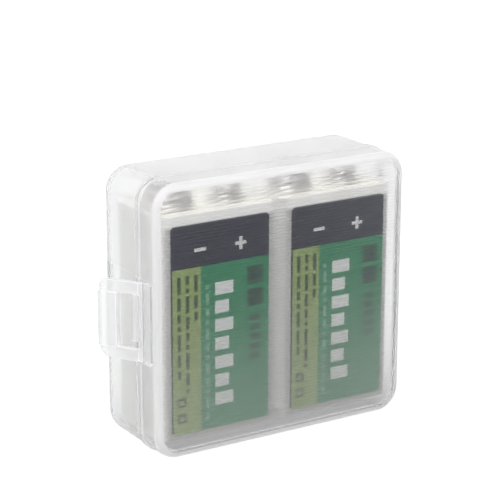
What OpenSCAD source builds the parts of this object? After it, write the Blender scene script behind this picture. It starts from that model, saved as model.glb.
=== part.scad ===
// Battery storage case: a see-through snap case with a hinged front shell and a side latch,
// holding two nine volt block batteries. It stands upright on one long narrow side.
// X runs along the front from left to right, Y from the front to the back and Z up.
// The origin is the centre of the face that the case stands on.

/* [Case] */
// Room that a battery has in its bay, along X
bay_room = 1.6; // [1.4:0.1:8]
// Room between the terminals and the ledges above them
end_room = 0.5; // [0.5:0.1:6]
// Depth of the front shell, from the window to the parting line
lid_d = 7.6; // [7.2:0.1:12]
// Thickness of the side walls of both shells
wall_t = 1.1; // [1:0.1:1.4]
// Thickness of the window in the front shell
window_t = 1.1; // [0.9:0.1:1.6]
// Thickness of the back face of the back shell
back_t = 1.1; // [0.9:0.1:1.6]
// Radius of the four corners, seen from the front
corner_r = 5; // [4.6:0.1:8]
// Radius of the edge round the window
front_edge_r = 1.3; // [0.6:0.1:2]
// Radius of the edge round the back face
back_edge_r = 4.3; // [2:0.1:4.5]

/* [Rim] */
// Width of the bead that runs round the rim of the front shell
bead_w = 1.9; // [1:0.1:3]
// How far the bead stands out from the wall
bead_h = 0.3; // [0.2:0.05:0.6]
// Radius of the bead's edges
bead_r = 0.2; // [0.1:0.05:0.2]
// Gap between the rims of the closed shells
rim_gap = 0.15; // [0.1:0.05:0.4]
// Thickness of the tongue on the back shell's rim
tongue_t = 0.6; // [0.4:0.1:0.8]
// How far the tongue reaches into the front shell
tongue_reach = 1.7; // [1:0.1:3]
// Depth of the thick root that carries the tongue
tongue_root = 1.3; // [1:0.1:3]
// Gap between the tongue and the front shell's wall
tongue_gap = 0.2; // [0.15:0.05:0.4]

/* [Lid hinge] */
// Distance from the round of a corner to the end of the living hinge
hinge_end = 2.4; // [1.5:0.1:12]
// Thickness of the hinge's bent web
hinge_t = 0.3; // [0.2:0.05:0.5]
// Inside radius of the hinge's bent web
hinge_bend_r = 0.6; // [0.4:0.05:1]
// Room left in the bead beyond each end of the hinge
hinge_room = 1; // [0.5:0.1:3]

/* [Latch] */
// Angle of the latch flap at rest, out from the wall; 0 is snapped shut
latch_rest = 31; // [0:1:70]
// Height of the flap, along Z
flap_h = 16; // [12:0.2:20]
// Length of the finger lip, from the flap's window to its free end
lip_len = 4.1; // [3:0.1:6]
// Thickness of the flap's frame
flap_t = 1.1; // [0.9:0.1:1.3]
// Thickness of the finger lip at the free end
lip_t = 1.8; // [1.4:0.1:2]
// Height of the frame's bar above the flap's window
top_bar = 2.4; // [1.5:0.1:3]
// Height of the frame's bar below the flap's window
bottom_bar = 2.5; // [1.5:0.1:3]
// Distance from the bend to the flap's window
root_bar = 0.8; // [0.7:0.1:1.1]
// Radius of the free corner at the top of the flap
top_corner_r = 1.5; // [1:0.1:3]
// Radius of the free corner at the bottom of the flap
bottom_corner_r = 2.3; // [1:0.1:3]
// Distance from the front face to the bend of the flap
bend_y = 4.3; // [4:0.1:4.6]
// Thickness of the bend's web
bend_t = 0.3; // [0.2:0.05:0.4]
// Half length of the bend's web, from the bend to the pad or the flap
bend_half = 0.3; // [0.25:0.05:0.4]
// How far the bend lies outside the plane of the wall
bend_out = 0.1; // [0.05:0.05:0.2]
// Depth of the recess in the side walls that the flap lies in
recess_d = 0.45; // [0.4:0.05:0.5]
// Distance from the front face to the recess
recess_y = 1.9; // [1.6:0.1:2.2]
// Room above and below the flap in the recess
recess_room = 0.5; // [0.3:0.1:1]
// Gap between the closed flap and the floor of the recess
flap_gap = 0.25; // [0.2:0.05:0.4]
// Distance from the front face to the pad that carries the flap
pad_y = 1.7; // [1.5:0.1:2.2]
// Radius of the rounded catch on the back shell
catch_r = 0.9; // [0.8:0.1:1.1]
// Distance from the parting line back to the middle of the catch
catch_y = 1.1; // [1.1:0.1:2]
// Gap between the catch and the edge of the flap's window
catch_gap = 0.18; // [0.15:0.01:0.4]
// Gap between each end of the catch and the flap's bars
catch_end_gap = 0.5; // [0.3:0.1:1]

/* [Cradle] */
// Height of the ledges above the floor and below the top wall
ledge_h = 2.2; // [1.6:0.1:5]
// Thickness of the ribs inside the back shell
rib_t = 0.9; // [0.8:0.1:1.4]
// Depth of the ribs behind the batteries
rib_depth = 3.1; // [2.6:0.1:12]
// Distance between the two ribs of a pair behind, below or above a battery
rib_pitch = 15; // [10:0.5:18]
// Thickness of the divider between the batteries
divider_t = 0.8; // [0.6:0.1:1.6]
// Gap between the window and the divider
divider_gap = 0.8; // [0.4:0.1:3]
// How far the divider and the ribs stop short of a battery's top and bottom
rib_end = 2; // [2:0.5:8]
// Gap between the divider and the left battery
left_gap = 0.6; // [0.2:0.1:2]
// Gap between the divider and the right battery
right_gap = 0.2; // [0.2:0.1:2]
// Gap between the window and the batteries
window_gap = 0.2; // [0.2:0.05:0.6]
// Gap between the ribs and the back of the batteries
back_gap = 0.2; // [0.1:0.05:0.4]

/* [Battery] */
// Width of a battery
bat_w = 26; // [25:0.1:26.5]
// Depth of a battery
bat_d = 16.9; // [15.5:0.1:17.5]
// Height of a battery's body, without its terminals
bat_h = 45.6; // [44:0.1:46.4]
// Radius of a battery's upright edges
bat_r = 1.6; // [1.3:0.1:2.5]
// Width of the printed labels
label_w = 22.2; // [18:0.1:22.4]
// Height of the printed labels
label_h = 42.4; // [36:0.1:42.8]
// Distance from the labels to the top of the body
label_top = 2; // [0.8:0.1:3]
// Radius of the labels' corners
label_r = 0.8; // [0.3:0.1:2]
// Thickness of the printed labels
label_t = 0.15; // [0.1:0.05:0.3]
// Thickness of the housing's wall
housing_t = 0.9; // [0.6:0.1:1.2]
// Thickness of the top plate
plate_t = 1.6; // [1.2:0.1:2]
// Thickness of the bottom cover
cover_t = 1.5; // [1:0.1:2]
// How far the top plate and the bottom cover lie below the housing's edges
plate_recess = 0.3; // [0:0.1:0.8]
// Gap round the plates and pads inside the housing
plate_gap = 0.1; // [0.05:0.05:0.3]
// Distance between the two terminals
terminal_pitch = 12.7; // [12:0.1:13]
// Height of the terminals above the body
terminal_h = 2.9; // [2.6:0.1:3.1]
// Radius of the positive stud's head
stud_r = 2.85; // [2.7:0.05:3]
// Outer radius of the negative socket
socket_r = 4.6; // [4.2:0.1:4.8]
// Radius of the negative socket's mouth
socket_bore_r = 2.95; // [2.9:0.05:3.1]
// Number of cells in the stack
cell_count = 7; // [6:1:8]
// Room between the cells and the housing's narrow sides
cell_side_room = 0.75; // [0.5:0.05:2]
// Room between the cells and the housing's wide sides
cell_face_room = 0.4; // [0.1:0.05:1]
// Radius of a cell's upright edges
cell_r = 2.2; // [1:0.1:3]
// Width of the square cap on a cell
cap_w = 6; // [4:0.5:8]
// Height of the cap
cap_h = 0.25; // [0.1:0.05:0.4]
// Gap between a cap and what lies on it
cell_gap = 0.05; // [0.02:0.01:0.1]
// Thickness of the nickel leads
lead_t = 0.2; // [0.15:0.05:0.3]
// Width of the positive lead
pos_lead_w = 3; // [2:0.5:4]
// Width of the negative lead
neg_lead_w = 4; // [2:0.5:6]
// Room round the positive lead in the top pad's slot
slot_room = 0.4; // [0.2:0.1:0.8]
// Thickness of the insulating pads above and below the cells
pad_t = 0.6; // [0.4:0.1:1]
// Gap beside the cells and above the top pad
stack_gap = 0.1; // [0.05:0.05:0.3]
// Radius of the rivets' heads under the top plate
rivet_r = 2; // [1.6:0.1:2.4]
// Thickness of the rivets' heads and shanks
rivet_t = 0.4; // [0.3:0.05:0.5]

/* [Hidden] */
$fn = 64;
past = 1;      // how far a cut runs past the face that it starts from
sink = 0.4;    // how far a rib runs into the wall that carries it

// The case is sized round its batteries, and they stand in it with their gaps
case_w = 2 * (wall_t + bat_w + bay_room) + divider_t;
case_h = 2 * (wall_t + ledge_h) + bat_h + terminal_h + end_room;
case_d = window_t + window_gap + bat_d + back_gap + rib_depth + back_t;
base_d = case_d - lid_d;

// Planes of the case
front_y = -case_d / 2;
part_y = front_y + lid_d;
back_y = case_d / 2;
mid_z = case_h / 2;
left_x = -case_w / 2;
right_x = case_w / 2;
inner_w = case_w - 2 * wall_t;
inner_h = case_h - 2 * wall_t;
inner_r = corner_r - wall_t;
back_round = min(back_edge_r, corner_r);
inner_back_round = min(back_round - back_t, inner_r);
hinge_len = case_h - 2 * (corner_r + hinge_end);
inner_back_y = back_y - back_t;

// Latch: the closed flap runs back from the bend, along +Y
bend_x = left_x - bend_out;
pad_out = bend_out + bend_t / 2;
pad_back = bend_y - bend_half;
flap_low = mid_z - flap_h / 2;
flap_in = recess_d + bend_out - flap_gap;
catch_from_front = lid_d + catch_y;
catch_reach = norm([catch_from_front - bend_y, recess_d + bend_out]) + catch_r;
lip_y = catch_reach + catch_gap;
flap_len = lip_y + lip_len;
window_low = flap_low + bottom_bar;
window_high = flap_low + flap_h - top_bar;

// Batteries: the origin of each is the centre of its bottom
bat_x = [-(divider_t / 2 + left_gap + bat_w / 2), divider_t / 2 + right_gap + bat_w / 2];
bat_front_y = front_y + window_t + window_gap;
bat_mid_y = bat_front_y + bat_d / 2;
bat_back_y = bat_front_y + bat_d;
bat_z = wall_t + ledge_h;
tube_d = bat_d - 2 * label_t;
bay_w = bat_w - 2 * housing_t;
bay_d = tube_d - 2 * housing_t;
bay_r = max(0.3, bat_r - housing_t);
cell_w = bay_w - 2 * cell_side_room;
cell_d = bay_d - 2 * cell_face_room;
plate_low = bat_h - plate_recess - plate_t;

// Levels inside a battery, from the bottom up
cover_top = plate_recess + cover_t;
foot_low = cover_top + pad_t;
stack_low = foot_low + lead_t;
arm_low = plate_low - rivet_t - lead_t;
top_pad_low = arm_low - stack_gap - pad_t;
stack_high = top_pad_low - lead_t;
cell_pitch = (stack_high - stack_low) / cell_count;
cell_h = cell_pitch - cap_h - cell_gap;
riser_x = terminal_pitch / 2 - rivet_r - lead_t;    // the positive lead's upright stretch

frost = [0.9, 0.91, 0.92, 0.45];
cream = [0.93, 0.91, 0.82];
nickel = [0.75, 0.74, 0.7];

// ---- Shapes that repeat ----

// The waste outside one rounded edge. The edge is at the origin, and the body at -x and +y.
module edge_waste(r) {
    difference() {
        translate([-r, -past]) square([r + past, r + past]);
        translate([-r, r]) circle(r);
    }
}

// Half of a section across a shell, from its middle out, with its two outer edges rounded
module half_section(half, depth, front_r, back_r) {
    difference() {
        square([half, depth]);
        if (front_r > 0) translate([half, 0]) edge_waste(front_r);
        if (back_r > 0) translate([half, depth]) mirror([0, 1]) edge_waste(back_r);
    }
}

module whole_section(width, depth, front_r, back_r) {
    half_section(width / 2, depth, front_r, back_r);
    mirror([1, 0]) half_section(width / 2, depth, front_r, back_r);
}

// A box with four round corners seen from the front and rounded front and back edges.
// It is centred on X and Z and runs back from y = 0.
module round_box(width, height, depth, corner, front_r = 0, back_r = 0) {
    for (sx = [-1, 1], sz = [-1, 1])
        translate([sx * (width / 2 - corner), 0, sz * (height / 2 - corner)])
            rotate([-90, 0, 0])
                rotate_extrude() half_section(corner, depth, front_r, back_r);
    translate([0, 0, -(height / 2 - corner)])
        linear_extrude(height - 2 * corner)
            whole_section(width, depth, front_r, back_r);
    rotate([0, -90, 0])
        translate([0, 0, -(width / 2 - corner)])
            linear_extrude(width - 2 * corner)
                whole_section(height, depth, front_r, back_r);
}

// A flat plate with four round upright edges, centred on X and Y, from z = 0 up
module round_plate(width, depth, r, height) {
    linear_extrude(height) {
        square([width - 2 * r, depth], center = true);
        square([width, depth - 2 * r], center = true);
        for (sx = [-1, 1], sy = [-1, 1])
            translate([sx * (width / 2 - r), sy * (depth / 2 - r)]) circle(r);
    }
}

// A block given by its two opposite corners
module block(low, high) {
    translate(low) cube(high - low);
}

// ---- The case ----

// The recess that the flap lies in, cut into the left walls of both shells
module latch_recess() {
    block([left_x - past, front_y + recess_y, flap_low - recess_room],
          [left_x + recess_d, back_y + past, flap_low + flap_h + recess_room]);
}

// The four straight stretches that centre the front shell: they stand inside the rim, on a
// thick root. The corners are left free, because a battery's own corners reach into them.
module tongue() {
    inset = wall_t + tongue_gap;
    front = part_y - tongue_reach;
    depth = tongue_reach + tongue_root + past;
    intersection() {
        difference() {
            union() {
                translate([0, front, mid_z])
                    round_box(case_w - 2 * inset, case_h - 2 * inset,
                              tongue_reach + rim_gap + sink, corner_r - inset);
                translate([0, part_y + rim_gap, mid_z])
                    round_box(inner_w + 2 * sink, inner_h + 2 * sink, tongue_root,
                              inner_r + sink);
            }
            translate([0, front - past, mid_z])
                round_box(case_w - 2 * (inset + tongue_t), case_h - 2 * (inset + tongue_t),
                          depth + 2 * past, corner_r - inset - tongue_t);
        }
        union() {
            block([left_x, front, corner_r], [right_x, front + depth, case_h - corner_r]);
            block([left_x + corner_r, front, 0], [right_x - corner_r, front + depth, case_h]);
        }
    }
}

// The divider, and the ribs behind, below and above each battery
module cradle() {
    rib_low = bat_z + rib_end;
    rib_high = bat_z + bat_h - rib_end;
    block([-divider_t / 2, front_y + window_t + divider_gap, rib_low],
          [divider_t / 2, inner_back_y + sink, rib_high]);
    for (x = bat_x, side = [-1, 1]) {
        rib_x = x + side * rib_pitch / 2;
        block([rib_x - rib_t / 2, bat_back_y + back_gap, rib_low],
              [rib_x + rib_t / 2, inner_back_y + sink, rib_high]);
        for (end = [0, 1])
            translate([0, 0, end * case_h]) mirror([0, 0, end])
                block([rib_x - rib_t / 2, part_y + rim_gap, wall_t - sink],
                      [rib_x + rib_t / 2, inner_back_y + sink, bat_z]);
    }
}

// The rounded ridge behind the parting line that holds the flap's lip
module catch() {
    translate([left_x + recess_d, front_y + catch_from_front, window_low + catch_end_gap])
        cylinder(r = catch_r, h = window_high - window_low - 2 * catch_end_gap);
}

module base_shell() {
    color(frost) {
        union() {
            difference() {
                union() {
                    difference() {
                        translate([0, part_y + rim_gap, mid_z])
                            round_box(case_w, case_h, base_d - rim_gap, corner_r, 0, back_round);
                        latch_recess();
                    }
                    catch();
                }
                translate([0, part_y + rim_gap - past, mid_z])
                    round_box(inner_w, inner_h, base_d - back_t - rim_gap + past, inner_r,
                              0, inner_back_round);
            }
            tongue();
            intersection() {
                cradle();
                translate([0, front_y, mid_z])
                    round_box(inner_w + 2 * sink, inner_h + 2 * sink,
                              case_d - back_t + sink, inner_r + sink,
                              0, inner_back_round + sink);
            }
        }
    }
}

// The rounded bead round the rim, left out under the case, at the hinge and in the recess
module bead() {
    hinge_low = mid_z - hinge_len / 2 - hinge_room;
    difference() {
        translate([0, part_y - bead_w, mid_z])
            round_box(case_w + 2 * bead_h, case_h + 2 * bead_h, bead_w,
                      corner_r + bead_h, bead_r, bead_r);
        block([left_x - past, front_y, -past], [right_x + past, back_y, 0]);
        block([right_x, front_y, hinge_low],
              [right_x + past, back_y, case_h - hinge_low]);
    }
}

// The pad that carries the flap, level with the bend's web
module latch_pad() {
    block([left_x - pad_out, front_y + pad_y, flap_low],
          [left_x + recess_d + sink, front_y + pad_back, flap_low + flap_h]);
}

module lid_shell() {
    color(frost) difference() {
        union() {
            difference() {
                union() {
                    translate([0, front_y, mid_z])
                        round_box(case_w, case_h, lid_d, corner_r, front_edge_r, 0);
                    bead();
                }
                latch_recess();
            }
            latch_pad();
        }
        translate([0, front_y + window_t, mid_z])
            round_box(inner_w, inner_h, lid_d - window_t + past, inner_r, front_edge_r / 2, 0);
    }
}

// The frame of the flap, seen from the end: bevelled at the bend so that it can swing out
module flap_section(thickness) {
    out = thickness - flap_in;
    polygon([
        [bend_t / 2, bend_half], [-bend_t / 2, bend_half], [-out, bend_half + out],
        [-out, flap_len], [flap_in, flap_len], [flap_in, 2 * bend_half],
    ]);
}

// The closed flap, with the bend at the origin
module closed_flap() {
    low = flap_low - mid_z;
    deep = past + lip_t;
    intersection() {
        union() {
            difference() {
                translate([0, 0, low]) linear_extrude(flap_h) flap_section(flap_t);
                block([-deep, root_bar, window_low - mid_z],
                      [deep, lip_y, window_high - mid_z]);
            }
            block([flap_in - lip_t, lip_y, window_low - mid_z],
                  [flap_in, flap_len, window_high - mid_z]);
        }
        union() {
            block([-deep, 0, low + bottom_corner_r],
                  [deep, flap_len, low + flap_h - top_corner_r]);
            block([-deep, 0, low], [deep, flap_len - bottom_corner_r, low + flap_h]);
            block([-deep, 0, 0], [deep, flap_len - top_corner_r, low + flap_h]);
            translate([-deep, flap_len - bottom_corner_r, low + bottom_corner_r])
                rotate([0, 90, 0]) cylinder(r = bottom_corner_r, h = 2 * deep);
            translate([-deep, flap_len - top_corner_r, low + flap_h - top_corner_r])
                rotate([0, 90, 0]) cylinder(r = top_corner_r, h = 2 * deep);
        }
    }
}

module at_bend() {
    translate([bend_x, front_y + bend_y, mid_z]) children();
}

module latch_flap() {
    color(frost) at_bend() rotate([0, 0, latch_rest]) closed_flap();
}

// The thin web that bends between the pad and the flap
module latch_hinge_web() {
    color(frost) at_bend() translate([0, 0, flap_low - mid_z]) {
        linear_extrude(flap_h) {
            circle(r = bend_t / 2);
            translate([-bend_t / 2, -bend_half]) square([bend_t, bend_half]);
            rotate(latch_rest) translate([-bend_t / 2, 0]) square([bend_t, bend_half]);
        }
    }
}

// The thin web that joins the two shells, bent back on itself while the case is shut
module lid_hinge_web() {
    outer_r = hinge_bend_r + hinge_t;
    color(frost) translate([right_x, part_y, mid_z - hinge_len / 2])
        linear_extrude(hinge_len) intersection() {
            difference() {
                circle(outer_r);
                circle(hinge_bend_r);
            }
            translate([0, -outer_r]) square([outer_r, 2 * outer_r]);
        }
}

// ---- A battery, with its origin at the centre of its bottom ----

module housing() {
    color(cream) difference() {
        round_plate(bat_w, tube_d, bat_r, bat_h);
        translate([0, 0, -past]) round_plate(bay_w, bay_d, bay_r, bat_h + 2 * past);
    }
}

// A printed label that runs back from face_y, measured from the battery's middle
module label(face_y) {
    color("seagreen") translate([0, face_y, bat_h - label_top - label_h / 2])
        round_box(label_w, label_h, label_t, label_r);
}

module front_label() {
    label(-bat_d / 2);
}

module back_label() {
    label(tube_d / 2);
}

// A plate or pad that fills the housing from wall to wall
module bay_plate(thickness) {
    round_plate(bay_w - 2 * plate_gap, bay_d - 2 * plate_gap, bay_r, thickness);
}

module top_plate() {
    color(cream) translate([0, 0, plate_low]) difference() {
        bay_plate(plate_t);
        for (side = [-1, 1])
            translate([side * terminal_pitch / 2, 0, -past])
                cylinder(r = rivet_r - rivet_t, h = plate_t + 2 * past);
    }
}

module bottom_cover() {
    color(cream) translate([0, 0, plate_recess]) bay_plate(cover_t);
}

// The rivet that holds a terminal: its shank fills the hole and its head grips the plate
module rivet() {
    cylinder(r = rivet_r - rivet_t - plate_gap / 2, h = rivet_t + plate_t + rivet_t);
    cylinder(r = rivet_r, h = rivet_t);
}

module positive_stud() {
    flange_w = 1.2;    // how far the flange reaches past the head
    flange_t = 0.4;
    neck_in = 0.45;    // how far the neck lies inside the head
    foot_r = 0.5;      // size of the slope at the neck's foot
    under_h = 0.5;     // height of the slope under the head
    edge_h = 0.4;      // height of the head's upright side, and of the bevel on it
    base = plate_low + plate_t;
    top = bat_h + terminal_h - base;
    flange_r = stud_r + flange_w;
    neck_r = stud_r - neck_in;
    color(nickel) translate([terminal_pitch / 2, 0, 0]) {
        translate([0, 0, plate_low - rivet_t]) rivet();
        translate([0, 0, base]) rotate_extrude() polygon([
            [0, 0], [flange_r, 0], [flange_r, flange_t], [neck_r + foot_r, flange_t],
            [neck_r, flange_t + foot_r], [neck_r, top - 2 * edge_h - under_h],
            [stud_r, top - 2 * edge_h], [stud_r, top - edge_h], [stud_r - edge_h, top],
            [0, top],
        ]);
    }
}

// The socket's side is a ring of springy fingers, parted by slits
module negative_socket() {
    floor_t = 0.5;
    foot_h = 0.8;      // height of the wide foot, and of the slope above it
    finger_in = 0.5;   // how far the fingers lie inside the foot
    bevel = 0.4;       // size of the bevels at the mouth
    slit_w = 0.5;
    slits = 6;
    base = plate_low + plate_t;
    top = bat_h + terminal_h - base;
    finger_r = socket_r - finger_in;
    color(nickel) translate([-terminal_pitch / 2, 0, 0]) {
        translate([0, 0, plate_low - rivet_t]) rivet();
        translate([0, 0, base]) difference() {
            rotate_extrude() polygon([
                [0, 0], [socket_r, 0], [socket_r, foot_h], [finger_r, 2 * foot_h],
                [finger_r, top - bevel], [finger_r - bevel, top],
                [socket_bore_r + bevel / 2, top], [socket_bore_r, top - bevel],
                [socket_bore_r, floor_t], [0, floor_t],
            ]);
            for (i = [0:slits - 1])
                rotate([0, 0, i * 360 / slits])
                    block([socket_bore_r / 2, -slit_w / 2, 2 * foot_h],
                          [socket_r + past, slit_w / 2, top + past]);
        }
    }
}

module cell_stack() {
    color(nickel) for (i = [0:cell_count - 1])
        translate([0, 0, stack_low + i * cell_pitch]) {
            round_plate(cell_w, cell_d, cell_r, cell_h);
            translate([0, 0, cell_h])
                round_plate(cap_w, cap_w, min(cell_r, cap_w / 3), cap_h);
        }
}

// From the cap of the top cell up through the top pad to the positive rivet
module positive_lead() {
    half = pos_lead_w / 2;
    color(nickel) {
        block([-cap_w / 2, -half, stack_high], [riser_x + lead_t, half, stack_high + lead_t]);
        block([riser_x, -half, stack_high], [riser_x + lead_t, half, arm_low + lead_t]);
        block([riser_x, -half, arm_low],
              [terminal_pitch / 2 + rivet_r, half, arm_low + lead_t]);
    }
}

// From under the bottom cell, up beside the stack and in to the negative rivet
module negative_lead() {
    half = neg_lead_w / 2;
    side_x = -(cell_w / 2 + stack_gap + lead_t);
    color(nickel) {
        block([side_x, -half, foot_low], [-cap_w / 2, half, foot_low + lead_t]);
        block([side_x, -half, foot_low], [side_x + lead_t, half, arm_low + lead_t]);
        block([side_x, -half, arm_low],
              [rivet_r - terminal_pitch / 2, half, arm_low + lead_t]);
    }
}

module top_pad() {
    slot_half = pos_lead_w / 2 + slot_room;
    color("dimgray") translate([0, 0, top_pad_low]) difference() {
        round_plate(cell_w, cell_d, cell_r, pad_t);
        block([riser_x - slot_room, -slot_half, -past],
              [riser_x + lead_t + slot_room, slot_half, pad_t + past]);
    }
}

module bottom_pad() {
    color("dimgray") translate([0, 0, cover_top]) round_plate(cell_w, cell_d, cell_r, pad_t);
}

// Places a battery's piece in the left bay, 0, or the right bay, 1
module in_bay(bay) {
    translate([bat_x[bay], bat_mid_y, bat_z]) children();
}

base_shell();
lid_shell();
latch_flap();
lid_hinge_web();
latch_hinge_web();

in_bay(0) housing();  // left_housing
in_bay(0) front_label();  // left_front_label
in_bay(0) back_label();  // left_back_label
in_bay(0) top_plate();  // left_top_plate
in_bay(0) bottom_cover();  // left_bottom_cover
in_bay(0) positive_stud();  // left_positive_stud
in_bay(0) negative_socket();  // left_negative_socket
in_bay(0) cell_stack();  // left_cell_stack
in_bay(0) positive_lead();  // left_positive_lead
in_bay(0) negative_lead();  // left_negative_lead
in_bay(0) top_pad();  // left_top_pad
in_bay(0) bottom_pad();  // left_bottom_pad

in_bay(1) housing();  // right_housing
in_bay(1) front_label();  // right_front_label
in_bay(1) back_label();  // right_back_label
in_bay(1) top_plate();  // right_top_plate
in_bay(1) bottom_cover();  // right_bottom_cover
in_bay(1) positive_stud();  // right_positive_stud
in_bay(1) negative_socket();  // right_negative_socket
in_bay(1) cell_stack();  // right_cell_stack
in_bay(1) positive_lead();  // right_positive_lead
in_bay(1) negative_lead();  // right_negative_lead
in_bay(1) top_pad();  // right_top_pad
in_bay(1) bottom_pad();  // right_bottom_pad
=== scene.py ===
"""The looks of a see-through snap case that holds two nine volt block batteries."""
import math

import bmesh
import bpy
from mathutils import Matrix, Vector


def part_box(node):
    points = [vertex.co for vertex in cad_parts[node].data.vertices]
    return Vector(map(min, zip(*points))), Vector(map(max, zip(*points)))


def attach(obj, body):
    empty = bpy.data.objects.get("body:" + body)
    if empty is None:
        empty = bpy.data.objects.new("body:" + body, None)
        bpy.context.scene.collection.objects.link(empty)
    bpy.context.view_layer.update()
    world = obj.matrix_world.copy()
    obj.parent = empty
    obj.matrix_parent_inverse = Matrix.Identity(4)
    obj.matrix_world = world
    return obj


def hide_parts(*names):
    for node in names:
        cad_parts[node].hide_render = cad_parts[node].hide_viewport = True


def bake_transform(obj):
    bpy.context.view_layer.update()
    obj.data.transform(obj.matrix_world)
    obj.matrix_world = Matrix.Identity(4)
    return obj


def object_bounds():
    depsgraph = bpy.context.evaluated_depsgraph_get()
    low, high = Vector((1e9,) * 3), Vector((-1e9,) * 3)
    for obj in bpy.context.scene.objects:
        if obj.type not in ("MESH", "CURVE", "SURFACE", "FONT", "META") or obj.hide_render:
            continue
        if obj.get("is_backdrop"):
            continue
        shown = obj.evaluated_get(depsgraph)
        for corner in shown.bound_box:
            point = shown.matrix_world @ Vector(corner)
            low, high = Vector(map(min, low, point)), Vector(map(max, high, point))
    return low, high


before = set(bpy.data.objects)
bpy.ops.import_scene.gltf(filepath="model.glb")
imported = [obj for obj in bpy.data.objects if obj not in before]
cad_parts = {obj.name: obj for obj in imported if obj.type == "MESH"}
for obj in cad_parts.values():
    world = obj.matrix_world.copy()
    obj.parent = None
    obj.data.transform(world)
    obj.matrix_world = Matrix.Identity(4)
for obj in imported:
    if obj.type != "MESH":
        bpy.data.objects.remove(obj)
cad_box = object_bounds()

MM = 0.001

# ---- Sizes of the case in millimetres, as the CAD model has them ----

BASE_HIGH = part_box("base_shell")[1] / MM
LID_LOW, LID_HIGH = (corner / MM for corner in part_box("lid_shell"))
CASE_H = BASE_HIGH.z
MID_Z = CASE_H / 2
FRONT_Y = LID_LOW.y
PART_Y = LID_HIGH.y
BACK_Y = BASE_HIGH.y
RIGHT_X = BASE_HIGH.x
LEFT_X = -RIGHT_X
WALL = 1.1
WINDOW = 1.1
BACK = 1.1
CORNER_R = 5.0
FRONT_R = 1.3
BACK_R = 4.3
RIM_GAP = 0.15
RIM_BEVEL = 0.12

BEAD_W = 1.9
BEAD_OUT = LID_HIGH.x - RIGHT_X
BEAD_R = 0.2
TONGUE_GAP = 0.2
TONGUE_T = 0.6
TONGUE_REACH = 1.7
TONGUE_ROOT = 1.3

HINGE_HALF = (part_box("lid_hinge_web")[1].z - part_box("lid_hinge_web")[0].z) / MM / 2
HINGE_ROOM = 1.0
HINGE_R = 0.6
HINGE_T = 0.3

LATCH_REST = 31.0
FLAP_HALF = (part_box("latch_flap")[1].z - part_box("latch_flap")[0].z) / MM / 2
FLAP_T = 1.1
FLAP_BEVEL = 0.18
LIP_T = 1.8
LIP_LEN = 4.1
TOP_BAR = 2.4
BOTTOM_BAR = 2.5
ROOT_BAR = 0.8
TOP_CORNER_R = 1.5
BOTTOM_CORNER_R = 2.3
BEND_Y = 4.3
BEND_T = 0.3
BEND_HALF = 0.3
BEND_OUT = 0.1
FLAP_GAP = 0.25
RECESS_D = 0.45
RECESS_Y = 1.9
RECESS_ROOM = 0.5
PAD_Y = 1.7
CATCH_R = 0.9
CATCH_Y = 1.1
CATCH_GAP = 0.18
CATCH_END = 0.5

LEDGE_H = 2.2
RIB_T = 0.9
RIB_PITCH = 15.0
RIB_END = 2.0
DIVIDER_T = 0.8
DIVIDER_GAP = 0.8
BACK_GAP = 0.2
GROOVE_PITCH = 0.65
# How far a piece reaches into the wall that it is joined to
SINK = 0.4

LABEL_W = 22.2
LABEL_H = 42.4
LABEL_R = 0.8
LABEL_T = 0.15

# The shells' materials, by their place in the list that each shell is given
OUTER, INNER, EDGE, PAD, PANE = range(5)

# ---- Small helpers for meshes ----


def new_object(name, points, faces, materials, picks=None):
    """A mesh object from points in millimetres. picks gives each face's material."""
    mesh = bpy.data.meshes.new(name)
    mesh.from_pydata([Vector(p) * MM for p in points], [], faces)
    for material in materials:
        mesh.materials.append(material)
    if picks:
        mesh.polygons.foreach_set("material_index", picks)
    made = bmesh.new()
    made.from_mesh(mesh)
    bmesh.ops.recalc_face_normals(made, faces=made.faces)
    made.to_mesh(mesh)
    made.free()
    obj = bpy.data.objects.new(name, mesh)
    bpy.context.scene.collection.objects.link(obj)
    return obj


def settle(obj):
    """Applies an object's modifiers to its mesh."""
    graph = bpy.context.evaluated_depsgraph_get()
    mesh = bpy.data.meshes.new_from_object(obj.evaluated_get(graph))
    obj.modifiers.clear()
    obj.data = mesh


def combine(obj, other, how):
    """Joins, cuts or trims obj with another closed mesh, which is then gone."""
    step = obj.modifiers.new(how, "BOOLEAN")
    step.object, step.operation, step.solver = other, how, "MANIFOLD"
    step.material_mode = "TRANSFER"
    settle(obj)
    bpy.data.objects.remove(other)


def smooth(obj, angle=35):
    """Smooth shading that keeps the edges sharper than an angle."""
    obj.data.shade_smooth()
    obj.data.set_sharp_from_angle(angle=math.radians(angle))
    step = obj.modifiers.new("normals", "WEIGHTED_NORMAL")
    step.keep_sharp = True
    settle(obj)


def drawn_faces(count, levels=1):
    """The faces of a closed loop of count points that is drawn out over some levels."""
    faces = [tuple(range(count)), tuple(range(levels * count, (levels + 1) * count))]
    for level in range(levels):
        for i in range(count):
            a, b = level * count + i, level * count + (i + 1) % count
            faces.append((a, b, b + count, a + count))
    return faces


def block(low, high, material):
    """A closed box between two corners."""
    points = [(x, y, z) for x in (low[0], high[0]) for y in (low[1], high[1])
              for z in (low[2], high[2])]
    faces = [(0, 1, 3, 2), (4, 6, 7, 5), (0, 4, 5, 1), (2, 3, 7, 6), (0, 2, 6, 4), (1, 5, 7, 3)]
    return new_object("block", points, faces, [material])


def arc(centre, radius, start, end, steps):
    """Points on a round stretch, with angles in degrees."""
    for i in range(steps + 1):
        turn = math.radians(start + (end - start) * i / steps)
        yield centre[0] + radius * math.cos(turn), centre[1] + radius * math.sin(turn)


# ---- The shells: a section swept round the case's outline ----


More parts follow.
